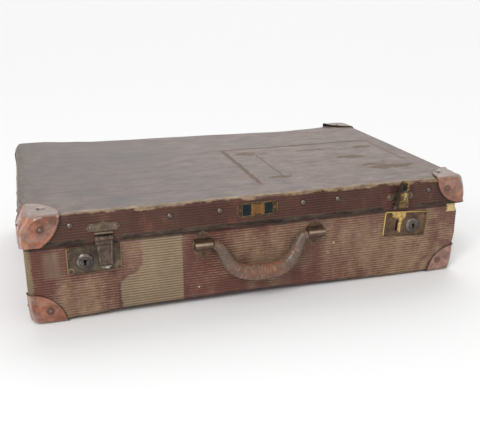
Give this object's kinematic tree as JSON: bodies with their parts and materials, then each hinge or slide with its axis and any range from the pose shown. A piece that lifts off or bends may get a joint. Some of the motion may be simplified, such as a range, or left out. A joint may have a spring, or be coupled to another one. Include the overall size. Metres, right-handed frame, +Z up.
{
  "type": "suitcase",
  "caption": "Shallow hinged fibreboard travel case with leather corners, front carrying handle, two hasp locks and a blank name plate.",
  "frame": {"origin": "on the floor, under the middle of the whole piece, handle and hinges included", "axes": "+Z up; -Y to the front, where the handle and locks are; +X to the right seen from the front"},
  "size_m": [0.6116, 0.4244, 0.1482],
  "materials": {
    "fibreboard": "worn ribbed covering",
    "leather": "polished, worn",
    "grip_leather": "dry, cracked",
    "wood": "bare",
    "lining": "faded",
    "binding": "matt cloth",
    "brass": "tarnished",
    "steel": "dull",
    "dark_steel": "dark, domed",
    "enamel": "glossy enamel"
  },
  "bodies": {
    "base": {"base_tray": "fibreboard", "base_frame_front": "wood", "base_frame_back": "wood", "base_frame_left": "wood", "base_frame_right": "wood", "base_lining": "lining", "base_corner_front_left": "leather", "base_corner_front_right": "leather", "base_corner_back_left": "leather", "base_corner_back_right": "leather", "base_corner_rivets": "dark_steel", "lock_plate_left": "brass", "lock_plate_right": "brass", "lock_boss_left": "steel", "lock_boss_right": "steel", "lock_case_left": "steel", "lock_case_right": "steel", "lock_plate_rivets": "brass", "handle_bracket_left": "brass", "handle_bracket_right": "brass", "handle_bracket_rivets": "brass", "hinge_base_leaf_left": "steel", "hinge_base_leaf_right": "steel", "hinge_base_rivets": "steel"},
    "lid": {"lid_tray": "fibreboard", "lid_frame_front": "wood", "lid_frame_back": "wood", "lid_frame_left": "wood", "lid_frame_right": "wood", "lid_lining": "lining", "lid_rim_binding": "binding", "lid_corner_front_left": "leather", "lid_corner_front_right": "leather", "lid_corner_back_left": "leather", "lid_corner_back_right": "leather", "lid_corner_rivets": "dark_steel", "lid_frame_rivets": "dark_steel", "name_plate": "brass", "name_plate_enamel": "enamel", "name_plate_nails": "brass", "hasp_plate_left": "brass", "hasp_plate_right": "brass", "hasp_plate_rivets": "dark_steel", "hasp_pins": "steel", "hinge_lid_leaf_left": "steel", "hinge_lid_leaf_right": "steel", "hinge_lid_rivets": "steel", "hinge_pins": "steel"},
    "handle": {"handle_core": "steel", "handle_grip": "grip_leather"},
    "hasp_left": {"hasp_flap_left": "brass", "hasp_staple_left": "dark_steel"},
    "plug_left": {"key_plug_left": "steel"},
    "bolt_left": {"lock_bolt_left": "steel"},
    "hasp_right": {"hasp_flap_right": "brass", "hasp_staple_right": "dark_steel"},
    "plug_right": {"key_plug_right": "steel"},
    "bolt_right": {"lock_bolt_right": "steel"}
  },
  "joints": [
    {"name": "lid_hinge", "type": "hinge", "parent": "base", "child": "lid", "pos_m": [0, 0.20935, 0.1034], "axis": [-1, 0, 0], "range_deg": [0, 175]},
    {"name": "handle_swing", "type": "hinge", "parent": "base", "child": "handle", "pos_m": [0, -0.19575, 0.0845], "axis": [-1, 0, 0], "range_deg": [0, 150]},
    {"name": "hasp_left_swing", "type": "hinge", "parent": "lid", "child": "hasp_left", "pos_m": [-0.2035, -0.19535, 0.109], "axis": [-1, 0, 0], "range_deg": [-8.5, 167.5]},
    {"name": "hasp_right_swing", "type": "hinge", "parent": "lid", "child": "hasp_right", "pos_m": [0.2035, -0.19535, 0.109], "axis": [-1, 0, 0], "range_deg": [-171, 5]},
    {"name": "plug_left_turn", "type": "hinge", "parent": "base", "child": "plug_left", "pos_m": [-0.2285, -0.18895, 0.079], "axis": [0, 1, 0], "range_deg": [0, 90]},
    {"name": "bolt_left_slide", "type": "slide", "parent": "base", "child": "bolt_left", "axis": [1, 0, 0], "range_m": [0, 0.00707]},
    {"name": "plug_right_turn", "type": "hinge", "parent": "base", "child": "plug_right", "pos_m": [0.22842, -0.18895, 0.07704], "axis": [0, -1, 0], "range_deg": [0, 90]},
    {"name": "bolt_right_slide", "type": "slide", "parent": "base", "child": "bolt_right", "axis": [-0.9969, 0, 0.0785], "range_m": [0, 0.00707]}
  ],
  "couplings": [
    {"joint": "plug_left_turn", "follows": "bolt_left_slide", "rad_per_m": 222.1},
    {"joint": "plug_right_turn", "follows": "bolt_right_slide", "rad_per_m": 222.1}
  ]
}
